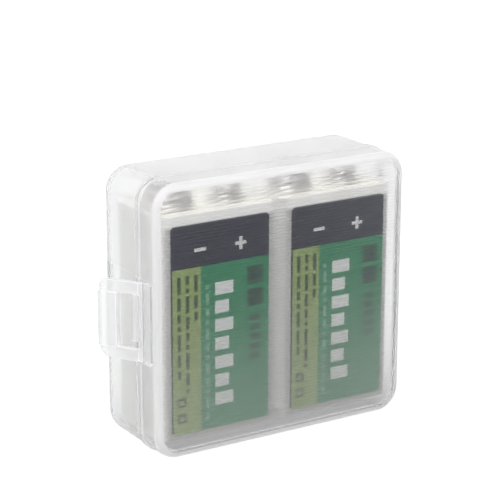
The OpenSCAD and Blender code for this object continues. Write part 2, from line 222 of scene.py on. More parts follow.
def outline(left_marks=(), right_marks=(), steps=12):
    """Stations round the outline, seen from the front: the centre of a corner's round and
    the direction out of it. Marks are the heights of extra stations on the side walls."""
    half_w, half_h = RIGHT_X - CORNER_R, MID_Z - CORNER_R
    stations = [(-half_w, z, -1.0, 0.0) for z in sorted(left_marks)]
    for quarter, (sx, sz) in enumerate([(-1, 1), (1, 1), (1, -1), (-1, -1)]):
        if quarter == 2:
            stations += [(half_w, z, 1.0, 0.0) for z in sorted(right_marks, reverse=True)]
        for x, z in arc((0, 0), 1, 180 - 90 * quarter, 90 - 90 * quarter, steps):
            stations.append((sx * half_w, MID_Z + sz * half_h, x, z))
    return stations


def swept(name, stations, rows, inset_at, materials, inner_from, edge_rows=()):
    """A closed shell. rows are (inset, y) from the outer face round the rim to the inner
    face, and inset_at(station, inset, y, row) can change the inset. The faces from row
    inner_from on take the inner material, and those in edge_rows the edge's."""
    points, faces, picks = [], [], []
    count = len(stations)
    for number, (inset, y) in enumerate(rows):
        for station in stations:
            cx, cz, nx, nz = station
            reach = CORNER_R - inset_at(station, inset, y, number)
            points.append((cx + reach * nx, y, cz + reach * nz))
    for row in range(len(rows) - 1):
        for i in range(count):
            j = (i + 1) % count
            faces.append((row * count + i, row * count + j,
                          (row + 1) * count + j, (row + 1) * count + i))
            picks.append(EDGE if row in edge_rows else INNER if row >= inner_from else OUTER)
    faces.append(tuple(range(count)))
    faces.append(tuple(range((len(rows) - 1) * count, len(rows) * count)))
    picks += [OUTER, INNER]
    return new_object(name, points, faces, materials, picks)


def fillet(inset, y, radius, towards, steps=7):
    """Rows over a rounded edge that starts on a face at y and ends on the wall at inset."""
    for x, step in arc((0, 0), 1, 0, 90, steps):
        yield inset + radius * (1 - step), y + towards * radius * (1 - x)


def around(*heights, room=0.05):
    """A pair of marks on each side of a step's height."""
    return [z + side * room for z in heights for side in (-1, 1)]


FLAP_LOW, FLAP_HIGH = MID_Z - FLAP_HALF, MID_Z + FLAP_HALF
WINDOW_LOW, WINDOW_HIGH = FLAP_LOW + BOTTOM_BAR, FLAP_HIGH - TOP_BAR
RECESS_LOW, RECESS_HIGH = FLAP_LOW - RECESS_ROOM, FLAP_HIGH + RECESS_ROOM
PAD_END = BEND_Y - BEND_HALF
PAD_OUT = BEND_OUT + BEND_T / 2
CATCH_FROM_FRONT = PART_Y - FRONT_Y + CATCH_Y
CATCH_LOW, CATCH_HIGH = WINDOW_LOW + CATCH_END, WINDOW_HIGH - CATCH_END


def brighten_steps(obj):
    """Gives the steps of the recess and of the pad the edge's plastic, and the pad's face
    the flap's."""
    # The edge's plastic is milkier and carries a painted glow, which draws these steps as
    # bright lines
    margin, wall_depth, behind_rim = 0.1, 0.9, 8
    level_face, small_face = 0.93, 4 * MM * MM
    for face in obj.data.polygons:
        centre = face.center / MM
        if (centre.x < LEFT_X + wall_depth and centre.y < PART_Y + behind_rim
                and RECESS_LOW - margin < centre.z < RECESS_HIGH + margin
                and abs(face.normal.x) < level_face and face.area < small_face):
            face.material_index = EDGE
        elif (centre.x < LEFT_X - 0.9 * PAD_OUT and FLAP_LOW < centre.z < FLAP_HIGH
                and centre.y < FRONT_Y + PAD_END + margin):
            face.material_index = PAD


def in_recess(station):
    return station[2] == -1 and RECESS_LOW < station[1] < RECESS_HIGH


def make_lid(outer, inner, edge, ribbed, pad, window):
    """The front shell: window, bead, recess, pad and the fine ribs inside the window."""
    left = around(RECESS_LOW, FLAP_LOW, FLAP_HIGH, RECESS_HIGH)
    hinge_end = HINGE_HALF + HINGE_ROOM
    right = around(MID_Z - hinge_end, MID_Z + hinge_end, room=0.1)
    rows = list(fillet(0, FRONT_Y, FRONT_R, 1))
    edge_rows = set(range(len(rows) - 1))
    rows += [(0, FRONT_Y + y) for y in around(PAD_Y, RECESS_Y, PAD_END, room=0.04)]
    bead_from, bead_steps = len(rows), 3
    rows.append((0, PART_Y - BEAD_W))
    rows += [(-d, PART_Y - BEAD_W + BEAD_R - y)
             for d, y in arc((BEAD_OUT - BEAD_R, 0), BEAD_R, 90, 0, bead_steps)]
    rows += [(-d, PART_Y - BEAD_R + y)
             for d, y in arc((BEAD_OUT - BEAD_R, 0), BEAD_R, 0, 90, bead_steps)]
    bead_to = len(rows)
    edge_rows |= set(range(bead_from, bead_from + bead_steps + 1))
    edge_rows |= set(range(bead_to - bead_steps - 1, bead_to))
    rows += [(WALL - RIM_BEVEL, PART_Y), (WALL, PART_Y - RIM_BEVEL)]
    inner_from, inner_steps = len(rows) - 1, 4
    edge_rows |= set(range(inner_from + 1, inner_from + 1 + inner_steps))
    rows += reversed(list(fillet(WALL, FRONT_Y + WINDOW, FRONT_R / 2, 1, inner_steps)))

    def inset_at(station, inset, y, row):
        cx, cz, nx, nz = station
        from_front = y - FRONT_Y
        if row >= inner_from:
            return inset
        if in_recess(station) and row < bead_to:
            on_pad = FLAP_LOW < cz < FLAP_HIGH and PAD_Y < from_front < PAD_END
            if on_pad:
                return -PAD_OUT
            return max(inset, RECESS_D) if from_front > RECESS_Y else inset
        if bead_from <= row < bead_to and inset < 0:
            if nx == 1 and abs(cz - MID_Z) < hinge_end:
                return 0
            if nz < 0:
                return max(inset, CORNER_R - CORNER_R / -nz)
        return inset

    lid = swept("front_shell", outline(left, right), rows, inset_at,
                [outer, inner, edge, pad, window], inner_from, edge_rows)
    window_face = lid.data.polygons[-2]
    window_face.material_index = PANE
    brighten_steps(lid)
    combine(lid, window_ribs(ribbed), "DIFFERENCE")
    smooth(lid)
    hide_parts("lid_shell")
    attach(lid, "lid")


def window_ribs(material):
    """The cutters of the fine level grooves inside the window."""
    pitch, width, depth, margin = GROOVE_PITCH, 0.58, 0.1, 1.6
    y = FRONT_Y + WINDOW
    points, faces = [], []
    count = int((CASE_H - 2 * WALL - 2 * margin) / pitch)
    for i in range(count):
        z = MID_Z + (i - (count - 1) / 2) * pitch
        in_corner = max(0, abs(z - MID_Z) - (MID_Z - CORNER_R))
        inner_r = CORNER_R - WALL - margin / 2
        half = RIGHT_X - CORNER_R + math.sqrt(inner_r ** 2 - in_corner ** 2)
        at = len(points)
        for x in (-half, half):
            points += [(x, y - depth, z), (x, y + depth, z + width), (x, y + depth, z - width)]
        faces += [(at, at + 1, at + 2), (at + 3, at + 5, at + 4), (at, at + 3, at + 4, at + 1),
                  (at + 1, at + 4, at + 5, at + 2), (at + 2, at + 5, at + 3, at)]
    return new_object("grooves", points, faces, [material])


def make_base(outer, inner, edge, milky):
    """The back shell: recess, catch, tongue, and the ribs that hold the batteries."""
    left = around(RECESS_LOW, CATCH_LOW, CATCH_HIGH, RECESS_HIGH)
    rim = PART_Y + RIM_GAP
    catch_y = FRONT_Y + CATCH_FROM_FRONT
    rows = list(fillet(0, BACK_Y, BACK_R, -1, steps=10))
    catch_from, catch_steps = len(rows), 10
    rows += [(RECESS_D - out, y)
             for y, out in arc((catch_y, 0), CATCH_R, 0, 180, catch_steps)][:-1]
    catch_to = len(rows)
    rows += [(0, rim + RIM_BEVEL), (RIM_BEVEL, rim), (WALL - RIM_BEVEL, rim),
             (WALL, rim + RIM_BEVEL)]
    inner_from = len(rows) - 1
    rows += reversed(list(fillet(WALL, BACK_Y - BACK, BACK_R - BACK, -1, steps=8)))

    def inset_at(station, inset, y, row):
        if catch_from <= row < catch_to:
            on_catch = station[2] == -1 and CATCH_LOW < station[1] < CATCH_HIGH
            if on_catch:
                return inset
            return RECESS_D if in_recess(station) else 0
        if row < inner_from and in_recess(station):
            return max(inset, RECESS_D)
        return inset

    base = swept("back_shell", outline(left), rows, inset_at, [outer, inner, edge], inner_from)
    brighten_steps(base)
    combine(base, make_cradle(inner, milky), "UNION")
    for stretch in make_tongue(inner):
        combine(base, stretch, "UNION")
    smooth(base)
    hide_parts("base_shell")
    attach(base, "base")


def make_tongue(material):
    """The four straight stretches inside the rim that centre the front shell."""
    rim = PART_Y + RIM_GAP
    outer, front = WALL + TONGUE_GAP, PART_Y - TONGUE_REACH
    inner, root = outer + TONGUE_T, rim + TONGUE_ROOT
    section = [(outer, front + RIM_BEVEL), (outer + RIM_BEVEL, front),
               (inner - RIM_BEVEL, front), (inner, front + RIM_BEVEL),
               (inner, root - RIM_BEVEL), (inner - RIM_BEVEL, root),
               (WALL - SINK, root), (WALL - SINK, rim), (outer, rim)]
    for nx, nz in ((-1, 0), (1, 0), (0, -1), (0, 1)):
        half = (MID_Z if nx else RIGHT_X) - CORNER_R
        points = []
        for along in (-half, half):
            for inset, y in section:
                if nx:
                    points.append((nx * (RIGHT_X - inset), y, MID_Z + along))
                else:
                    points.append((along, y, MID_Z + nz * (MID_Z - inset)))
        yield new_object("tongue", points, drawn_faces(len(section)), [material])


def make_cradle(material, milky):
    """The divider, and the ribs behind, below and above each battery."""
    in_back = BACK_Y - BACK + SINK
    rim, ledge = PART_Y + RIM_GAP, WALL + LEDGE_H
    blocks = []
    for side in ("left", "right"):
        low, high = (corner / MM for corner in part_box(side + "_housing"))
        middle = (low.x + high.x) / 2
        rib_low, rib_high = low.z + RIB_END, high.z - RIB_END
        battery_back = high.y + LABEL_T
        for x in (middle - RIB_PITCH / 2, middle + RIB_PITCH / 2):
            x0, x1 = x - RIB_T / 2, x + RIB_T / 2
            blocks += [((x0, battery_back + BACK_GAP, rib_low), (x1, in_back, rib_high)),
                       ((x0, rim, WALL - SINK), (x1, in_back, ledge)),
                       ((x0, rim, CASE_H - ledge), (x1, in_back, CASE_H - WALL + SINK))]
    cradle = block((-DIVIDER_T / 2, FRONT_Y + WINDOW + DIVIDER_GAP, rib_low),
                   (DIVIDER_T / 2, in_back, rib_high), milky)
    for low, high in blocks:
        combine(cradle, block(low, high, material), "UNION")
    # All of it is trimmed to a plug that fills the shell and reaches into its walls
    rows = list(fillet(WALL - SINK, in_back, BACK_R - BACK + SINK, -1, steps=8))
    rows.append((WALL - SINK, FRONT_Y))
    plug = swept("plug", outline(), rows, lambda station, inset, y, row: inset, [material],
                 len(rows))
    combine(cradle, plug, "INTERSECT")
    return cradle


# ---- The latch flap and the two webs ----


def prism(outline_points, low, high, material):
    """A closed prism: an outline of (y, z) points, drawn out along X from low to high."""
    points = [(x, y, z) for x in (low, high) for y, z in outline_points]
    return new_object("prism", points, drawn_faces(len(outline_points)), [material])


def make_flap(outer, bright):
    """The latch flap, built shut and turned out to its rest angle."""
    inside = RECESS_D + BEND_OUT - FLAP_GAP
    outside = inside - FLAP_T
    run = CATCH_FROM_FRONT - BEND_Y
    lip_y = math.hypot(run, RECESS_D + BEND_OUT) + CATCH_R + CATCH_GAP
    end = lip_y + LIP_LEN
    low, high = -FLAP_HALF, FLAP_HALF
    window_low, window_high = low + BOTTOM_BAR, high - TOP_BAR
    shape = [(BEND_HALF, high), (BEND_HALF, low)]
    shape += arc((end - BOTTOM_CORNER_R, low + BOTTOM_CORNER_R), BOTTOM_CORNER_R, -90, 0, 10)
    shape += arc((end - TOP_CORNER_R, high - TOP_CORNER_R), TOP_CORNER_R, 0, 90, 8)
    flap = prism(shape, outside, inside, outer)
    flap.name = "finger_flap"
    hole = block((outside - 1, ROOT_BAR, window_low), (inside + 1, lip_y, window_high), outer)
    combine(flap, hole, "DIFFERENCE")
    lip = block((inside - LIP_T, lip_y, window_low), (inside, end, window_high), outer)
    combine(flap, lip, "UNION")
    # The root is thinned to the web from both faces
    far = 3
    for wedge in (
        [(-far, 0), (-BEND_T / 2, 0), (-BEND_T / 2, BEND_HALF),
         (-far, BEND_HALF + far - BEND_T / 2)],
        [(far, 0), (BEND_T / 2, 0), (BEND_T / 2, BEND_HALF),
         (inside, 2 * BEND_HALF), (far, 2 * BEND_HALF)],
    ):
        points = [(x, y, z) for z in (low - 1, high + 1) for x, y in wedge]
        combine(flap, new_object("wedge", points, drawn_faces(len(wedge)), [outer]),
                "DIFFERENCE")
    flap.data.materials.clear()
    flap.data.materials.append(outer)
    flap.data.materials.append(bright)
    edge = flap.modifiers.new("edges", "BEVEL")
    edge.width, edge.segments, edge.limit_method = FLAP_BEVEL * MM, 2, "ANGLE"
    edge.angle_limit, edge.material = math.radians(40), 1
    settle(flap)
    at_bend = Matrix.Translation(Vector((LEFT_X - BEND_OUT, FRONT_Y + BEND_Y, MID_Z)) * MM)
    flap.data.transform(at_bend @ Matrix.Rotation(math.radians(LATCH_REST), 4, "Z"))
    smooth(flap)
    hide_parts("latch_flap")
    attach(flap, "latch")


def web(name, line, low, high, thickness, material):
    """A thin web: a line of (x, y) points with a thickness, drawn up from low to high."""
    sides = [[], []]
    for i, point in enumerate(line):
        before, after = Vector(line[max(i - 1, 0)]), Vector(line[min(i + 1, len(line) - 1)])
        along = (after - before).normalized()
        across = Vector((-along.y, along.x)) * thickness / 2
        sides[0].append(Vector(point) + across)
        sides[1].append(Vector(point) - across)
    loop = sides[0] + sides[1][::-1]
    levels = 12
    points = [(p.x, p.y, low + (high - low) * level / levels)
              for level in range(levels + 1) for p in loop]
    obj = new_object(name, points, drawn_faces(len(loop), levels), [material])
    smooth(obj)
    return obj


def make_webs(outer):
    """The lid's web, bent back on itself, and the flap's web."""
    middle = HINGE_R + HINGE_T / 2
    line = list(arc((RIGHT_X, PART_Y), middle, 90, -90, 24))
    piece = web("hinge_web", line, MID_Z - HINGE_HALF, MID_Z + HINGE_HALF, HINGE_T, outer)
    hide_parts("lid_hinge_web")
    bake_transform(piece)

    bend = Vector((LEFT_X - BEND_OUT, FRONT_Y + BEND_Y))
    out = Vector((-math.sin(math.radians(LATCH_REST)), math.cos(math.radians(LATCH_REST))))
    steps = 6
    line = [bend - Vector((0, BEND_HALF)) * (1 - i / steps) for i in range(steps)]
    line += [bend + out * BEND_HALF * i / steps for i in range(steps + 1)]
    piece = web("flap_web", line, FLAP_LOW, FLAP_HIGH, BEND_T, outer)
    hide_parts("latch_hinge_web")
    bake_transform(piece)


# ---- Materials ----

WHITE = (1, 1, 1, 1)
PLASTIC_IOR = 1.3
MILK = (0.92, 0.92, 0.93, 1)
SHADOW_FILM = (0.8, 0.8, 0.8, 1)
# Where the milk of grazing angles starts, and how much there is along a silhouette
RIM_FROM, RIM_MILK = 0.45, 1.0
# The window's extra milk, on its crests and towards the hinge, and where it grows in metres
CREST_MILK, CREST_LEAST, CREST_FADE = 0.08, 0.2, (0.026, 0.044)
HINGE_MILK, HINGE_FADE = 0.055, (-0.008, 0.027)
ROUGHNESS_SWING = 0.06
# A painted haze pales the labels downwards between these heights in metres
PAINTED_HAZE_INK, PAINTED_HAZE_SHARE, PAINTED_HAZE_FADE = (0.7, 0.72, 0.68), 0.38, (0.04, 0.004)
# The battery bodies' front in metres along Y, and the foot of the painted glowing band at its
# top
BODY_FRONT, BAND_FOOT = (-0.0094, -0.0098), (0.0465, 0.0471)
# The band's painted glow, and the painted shade grey of the front below it
PAINTED_BAND_GLOW, PAINTED_FRONT_SHADE = 0.2, (0.64, 0.64, 0.62)


def material_nodes(name):
    material = bpy.data.materials.new(name)
    material.use_nodes = True
    tree = material.node_tree
    tree.nodes.clear()
    out = tree.nodes.new("ShaderNodeOutputMaterial")
    shader = tree.nodes.new("ShaderNodeBsdfPrincipled")
    tree.links.new(shader.outputs[0], out.inputs["Surface"])
    return material, tree, shader


def feed(tree, socket, value):
    """Links a socket to another node's output, or gives it a plain number."""
    if isinstance(value, bpy.types.NodeSocket):
        tree.links.new(value, socket)
    else:
        socket.default_value = value


def calculate(tree, operation, *values):
    """The result of a sum on other nodes' outputs and plain numbers."""
    node = tree.nodes.new("ShaderNodeMath")
    node.operation = operation
    for socket, value in zip(node.inputs, values):
        feed(tree, socket, value)
    return node.outputs[0]


def mix_shaders(tree, share, first, second):
    """Two shaders mixed, with the second one's share."""
    node = tree.nodes.new("ShaderNodeMixShader")
    for socket, value in zip(node.inputs, (share, first, second)):
        feed(tree, socket, value)
    return node.outputs[0]


def noise(tree, scale, detail=2.0, stretch=(1, 1, 1)):
    """Fractal noise in the object's own coordinates. scale is in bumps per metre."""
    place = tree.nodes.new("ShaderNodeTexCoord")
    mapping = tree.nodes.new("ShaderNodeMapping")
    mapping.inputs["Scale"].default_value = stretch
    texture = tree.nodes.new("ShaderNodeTexNoise")
    texture.inputs["Scale"].default_value = scale
    texture.inputs["Detail"].default_value = detail
    tree.links.new(place.outputs["Object"], mapping.inputs["Vector"])
    tree.links.new(mapping.outputs["Vector"], texture.inputs["Vector"])
    return texture.outputs["Fac"]


def axis(tree, name):
    """One of the object's own coordinates, in metres."""
    place = tree.nodes.new("ShaderNodeTexCoord")
    axes = tree.nodes.new("ShaderNodeSeparateXYZ")
    tree.links.new(place.outputs["Object"], axes.inputs[0])
    return axes.outputs[name]


def map_range(tree, value, start, end, low, high, how="SMOOTHSTEP"):
    """A node that maps the numbers from start to end to those from low to high."""
    node = tree.nodes.new("ShaderNodeMapRange")
    node.interpolation_type = how
    for socket, number in zip(("From Min", "From Max", "To Min", "To Max"),
                              (start, end, low, high)):
        node.inputs[socket].default_value = number
    tree.links.new(value, node.inputs["Value"])
    return node


def ramp(tree, value, start, end, low, high):
    """A smooth step from low to high."""
    return map_range(tree, value, start, end, low, high).outputs["Result"]


def spread(tree, value, low, high, mid=0.5, reach=0.25):
    """Maps noise round its middle to a range of numbers."""
    node = map_range(tree, value, mid - reach, mid + reach, low, high, "LINEAR")
    return node.outputs["Result"]


def mix_colours(tree, share, first, second):
    node = tree.nodes.new("ShaderNodeMix")
    node.data_type = "RGBA"
    node.inputs["A"].default_value = (*first, 1)
    node.inputs["B"].default_value = (*second, 1)
    tree.links.new(share, node.inputs["Factor"])
    return node.outputs["Result"]


def repaint(tree, shader, share, colour):
    """Mixes another colour into a shader's base colour."""
    node = tree.nodes.new("ShaderNodeMix")
    node.data_type = "RGBA"
    node.inputs["B"].default_value = (*colour, 1)
    tree.links.new(shader.inputs["Base Color"].links[0].from_socket, node.inputs["A"])
    tree.links.new(share, node.inputs["Factor"])
    tree.links.new(node.outputs["Result"], shader.inputs["Base Color"])


def bump(tree, shader, value, height):
    """Relief of a real height in metres."""
    node = tree.nodes.new("ShaderNodeBump")
    node.inputs["Strength"].default_value = 1.0
    node.inputs["Distance"].default_value = height
    tree.links.new(value, node.inputs["Height"])
    tree.links.new(node.outputs["Normal"], shader.inputs["Normal"])


def frosted(name, rough_low, rough_high, clear, least=0.0, glow=0.0):
    """Moulded polypropylene: see-through, with faint flow marks, and milky where it is seen
    at a grazing angle, because the way through the wall is long there. least is the share
    of milk that it has from straight on, and glow a painted glow that stands in for the light a
    thick edge gathers."""
    material, tree, shader = material_nodes(name)
    cloud = noise(tree, 260, 3, (1, 1, 0.35))
    tint = mix_colours(tree, spread(tree, cloud, 0, 1),
                       (0.95, 0.95, 0.955), (0.975, 0.975, 0.98))
    tree.links.new(tint, shader.inputs["Base Color"])
    tree.links.new(spread(tree, cloud, rough_low, rough_high), shader.inputs["Roughness"])
    shader.inputs["IOR"].default_value = PLASTIC_IOR
    # The emission is a painted glow: the plastic gives off light though it is no lamp
    shader.inputs["Emission Color"].default_value = WHITE
    shader.inputs["Emission Strength"].default_value = glow
    shader.inputs["Transmission Weight"].default_value = clear
    passed = tree.nodes.new("ShaderNodeBsdfTranslucent")
    passed.inputs["Color"].default_value = MILK
    thrown_back = tree.nodes.new("ShaderNodeBsdfDiffuse")
    thrown_back.inputs["Color"].default_value = MILK
    milk = mix_shaders(tree, 0.5, passed.outputs[0], thrown_back.outputs[0])
    edge = tree.nodes.new("ShaderNodeLayerWeight")
    edge.inputs["Blend"].default_value = 0.5
    rim = map_range(tree, edge.outputs["Facing"], RIM_FROM, 1.0, least, RIM_MILK)
    rim.name = "Rim"
    body = mix_shaders(tree, rim.outputs["Result"], shader.outputs[0], milk)
    # Light on its way to a lit surface passes straight through, as it does in a thin wall
    path = tree.nodes.new("ShaderNodeLightPath")
    film = tree.nodes.new("ShaderNodeBsdfTransparent")
    film.inputs["Color"].default_value = SHADOW_FILM
    surface = mix_shaders(tree, path.outputs["Is Shadow Ray"], body, film.outputs[0])
    tree.links.new(surface, tree.nodes["Material Output"].inputs["Surface"])
    return material


def add_window_haze(material):
    """Makes the window milkier towards the hinge, and on the crests between its grooves."""
    tree = material.node_tree
    turns = 2 * math.pi / GROOVE_PITCH
    angle = calculate(tree, "MULTIPLY_ADD", axis(tree, "Z"), turns / MM, -turns * MID_Z)
    crest = spread(tree, calculate(tree, "COSINE", angle), CREST_MILK, 0.0, mid=0, reach=1)
    high = ramp(tree, axis(tree, "Z"), *CREST_FADE, CREST_LEAST, 1.0)
    side = ramp(tree, axis(tree, "X"), *HINGE_FADE, 0.0, HINGE_MILK)
    milk = calculate(tree, "ADD", calculate(tree, "MULTIPLY", crest, high), side)
    tree.links.new(milk, tree.nodes["Rim"].inputs["To Min"])


def plastic(name, light, dark, roughness, grain=1800, height=0.000006, gloss=0.5):
    """Opaque moulded plastic or print, with faint mottling and fine grain."""
    material, tree, shader = material_nodes(name)
    cloud = noise(tree, 420, 3)
    tint = mix_colours(tree, spread(tree, cloud, 0, 1), dark, light)
    tree.links.new(tint, shader.inputs["Base Color"])
    fine = noise(tree, grain, 2)
    tree.links.new(spread(tree, fine, roughness - ROUGHNESS_SWING, roughness + ROUGHNESS_SWING),
                   shader.inputs["Roughness"])
    shader.inputs["Specular IOR Level"].default_value = gloss
    bump(tree, shader, fine, height)
    return material


def ink(name, light, dark):
    """Print under a painted haze that pales it towards the bottom of the label."""
    material = plastic(name, light, dark, 0.45, gloss=0.15)
    tree = material.node_tree
    # Painted haze: the print's colour is mixed towards a pale grey towards the bottom
    share = ramp(tree, axis(tree, "Z"), *PAINTED_HAZE_FADE, 0.0, PAINTED_HAZE_SHARE)
    repaint(tree, tree.nodes["Principled BSDF"], share, PAINTED_HAZE_INK)
    return material


def body_plastic():
    """Pale plastic whose front is painted grey as shade, below a band along its top edge
    that glows as painted light, in place of light that falls on the top."""
    material = plastic("body_plastic", (0.86, 0.86, 0.83), (0.81, 0.81, 0.78), 0.42)
    tree = material.node_tree
    shader = tree.nodes["Principled BSDF"]
    front = ramp(tree, axis(tree, "Y"), *BODY_FRONT, 0.0, 1.0)
    below = ramp(tree, axis(tree, "Z"), *BAND_FOOT[::-1], 0.0, 1.0)
    above = ramp(tree, axis(tree, "Z"), *BAND_FOOT, 0.0, PAINTED_BAND_GLOW)
    # The band along the top edge glows as painted light, and the front below it is painted grey
    # as shade
    shader.inputs["Emission Color"].default_value = (1.0, 1.0, 0.97, 1)
    tree.links.new(calculate(tree, "MULTIPLY", front, above),
                   shader.inputs["Emission Strength"])
    repaint(tree, shader, calculate(tree, "MULTIPLY", front, below), PAINTED_FRONT_SHADE)
    return material


def metal(name, light, dark, roughness):
    """Plated sheet metal with drawn lines and light wear."""
    material, tree, shader = material_nodes(name)
    lines = noise(tree, 900, 4, (1, 1, 8))
    tint = mix_colours(tree, spread(tree, lines, 0, 1), dark, light)
    tree.links.new(tint, shader.inputs["Base Color"])
    tree.links.new(spread(tree, lines, roughness - 0.08, roughness + 0.1),
                   shader.inputs["Roughness"])
    bump(tree, shader, lines, 0.000004)
    shader.inputs["Metallic"].default_value = 1.0
    return material


# ---- The printed labels ----


def dashes(start, end, shortest, step, extra, gap, first=0):
    """The two ends of each dash of a broken line. The last one starts before end, and
    extra(number) says how many steps a dash is longer than the shortest."""
    at, number = start, first
    while at < end:
        long = shortest + step * extra(number)
        yield at, at + long
        at += long + gap
        number += 1


def label_print():
    """Print on a front label, in order: (ink, left, top, right, bottom) in mm from its top
    left corner. Plain fields, bars, dashes and polarity signs."""
    strip, head, border = 6.6, 8.6, 0.25
    yield from [("charcoal", 0, 0, LABEL_W, head), ("leaf", 0, head, strip, LABEL_H),
                ("forest", strip, head, LABEL_W, LABEL_H),
                ("charcoal", 0, head, border, LABEL_H)]
    # Polarity signs under the terminals
    arm, half, sign_y, sign_x = 1.3, 0.38, 5.2, 4.6
    middle = LABEL_W / 2
    for x, upright in ((middle - sign_x, False), (middle + sign_x, True)):
        yield "ink_white", x - arm, sign_y - half, x + arm, sign_y + half
        if upright:
            yield "ink_white", x - half, sign_y - arm, x + half, sign_y + arm
    # A gauge of plain white bars down the middle
    for i in range(7):
        top = 12.4 + i * 3.8
        width = 4.2 if i % 2 == 0 else 3.2
        yield "ink_white", 9.8, top, 9.8 + width, top + 2.6
    # A darker column beside it
    for top, bottom in ((10.4, 14.0), (15.0, 18.6)):
        yield "pine", 17.2, top, 20.8, bottom
    for i in range(5):
        yield "pine", 17.8, 20.4 + i * 2.0, 20.2, 21.6 + i * 2.0
    # Dashes in place of small print
    width = 0.8
    for x, top, bottom in ((1.3, 10.2, 31.0), (3.2, 10.0, 34.0), (5.1, 10.2, 20.0)):
        for at, to in dashes(top, bottom, 1.0, 0.8, lambda n: (n * 7 + int(x * 3)) % 4, 0.7):
            yield "moss", x, at, x + width, min(to, bottom)
    for at, to in dashes(12.6, 39, 0.9, 0.7, lambda n: n * 5 % 3, 0.8):
        yield "mint", 7.7, at, 8.5, to
    for top in (34.9, 38.2):
        yield "moss", 1.2, top, 3.2, top + 2.0
        yield "leaf", 1.7, top + 0.5, 2.7, top + 1.5


def back_print():
    """Print on a back label: plain fields and dashes."""
    head, margin, row_pitch = 6.4, 2.4, 2.1
    yield from [("charcoal", 0, 0, LABEL_W, head), ("forest", 0, head, LABEL_W, LABEL_H)]
    for row in range(9):
        for at, to in dashes(margin, LABEL_W - 3, 1.2, 0.9, lambda n: n * 5 % 4, 0.8, row):
            yield ("mint", at, 10 + row * row_pitch, min(to, LABEL_W - 2),
                   10.8 + row * row_pitch)
    yield "leaf", margin, 31.5, LABEL_W - margin, 38.5


def make_label(node, inks, marks, facing):
    """A label whose outer face is cut into the fields and marks of its print. facing is the
    direction that it faces along Y."""
    low, high = (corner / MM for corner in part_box(node))
    shape = []
    for sx, sz, start in ((-1, -1, 180), (1, -1, 270), (1, 1, 0), (-1, 1, 90)):
        centre = (((low.x + high.x) + sx * (LABEL_W - 2 * LABEL_R)) / 2,
                  ((low.z + high.z) + sz * (LABEL_H - 2 * LABEL_R)) / 2)
        shape += arc(centre, LABEL_R, start, start + 90, 8)
    points = [(x, y, z) for y in (low.y, high.y) for x, z in shape]
    marks = list(marks)
    names = sorted({m[0] for m in marks})
    label = new_object(node + "_print", points, drawn_faces(len(shape)),
                       [inks[n] for n in names])

    def place(x, z):
        """Millimetres from the print's top left corner, as its reader sees it."""
        return (x - low.x if facing < 0 else high.x - x), high.z - z

    made = bmesh.new()
    made.from_mesh(label.data)
    for u in sorted({m[k] for m in marks for k in (1, 3)} - {0, LABEL_W}):
        x = low.x + u if facing < 0 else high.x - u
        bmesh.ops.bisect_plane(made, geom=made.verts[:] + made.edges[:] + made.faces[:],
                               dist=1e-7, plane_co=Vector((x, 0, 0)) * MM, plane_no=(1, 0, 0))
    for v in sorted({m[k] for m in marks for k in (2, 4)} - {0, LABEL_H}):
        bmesh.ops.bisect_plane(made, geom=made.verts[:] + made.edges[:] + made.faces[:],
                               dist=1e-7, plane_co=Vector((0, 0, high.z - v)) * MM,
                               plane_no=(0, 0, 1))
    for face in made.faces:
        middle = face.calc_center_median() / MM
        u, v = place(middle.x, middle.z)
        for name, x0, y0, x1, y1 in marks:
            if x0 <= u <= x1 and y0 <= v <= y1:
                face.material_index = names.index(name)
    made.to_mesh(label.data)
    made.free()
    smooth(label, 30)
    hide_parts(node)
    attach(label, "base")


# ---- The object ----

# pp_edge, pp_flap and pp_milky carry a painted glow, the last number given to frosted
pp_outer = frosted("pp_outer", 0.14, 0.18, 0.99)
pp_inner = frosted("pp_inner", 0.42, 0.48, 0.985)
pp_edge = frosted("pp_edge", 0.14, 0.18, 0.985, 0.68, 0.3)
pp_ribbed = frosted("pp_ribbed", 0.3, 0.36, 0.985)
pp_window = frosted("pp_window", 0.14, 0.18, 0.99)
add_window_haze(pp_window)
pp_flap = frosted("pp_flap", 0.14, 0.18, 0.985, 0.4, 0.1)
pp_milky = frosted("pp_milky", 0.42, 0.48, 0.985, 0.6, 0.12)
make_lid(pp_outer, pp_inner, pp_edge, pp_ribbed, pp_flap, pp_window)
make_base(pp_outer, pp_inner, pp_edge, pp_milky)
make_flap(pp_flap, pp_edge)
make_webs(pp_outer)

INKS = {
    "leaf": ink("ink_leaf", (0.36, 0.48, 0.17), (0.31, 0.43, 0.14)),
    "charcoal": ink("ink_charcoal", (0.01, 0.013, 0.045), (0.006, 0.009, 0.034)),
    "forest": ink("ink_forest", (0.012, 0.3, 0.13), (0.008, 0.25, 0.11)),
    "pine": ink("ink_pine", (0.006, 0.08, 0.05), (0.004, 0.06, 0.04)),
    "moss": ink("ink_moss", (0.05, 0.1, 0.03), (0.03, 0.07, 0.02)),
    "mint": ink("ink_mint", (0.24, 0.5, 0.34), (0.2, 0.44, 0.3)),
    "ink_white": ink("ink_white", (0.92, 0.94, 0.92), (0.86, 0.88, 0.86)),
}
cream = plastic("cream_plastic", (0.86, 0.85, 0.78), (0.8, 0.79, 0.72), 0.42)
nickel = metal("nickel_plate", (0.68, 0.67, 0.66), (0.56, 0.55, 0.54), 0.42)
cells = metal("cell_can", (0.6, 0.6, 0.6), (0.5, 0.5, 0.5), 0.42)
card = plastic("pad_card", (0.03, 0.032, 0.035), (0.02, 0.022, 0.025), 0.75)
FINISH = {
    "housing": body_plastic(), "top_plate": cream, "bottom_cover": cream,
    "positive_stud": nickel, "negative_socket": nickel, "cell_stack": cells,
    "positive_lead": nickel, "negative_lead": nickel, "top_pad": card, "bottom_pad": card,
}
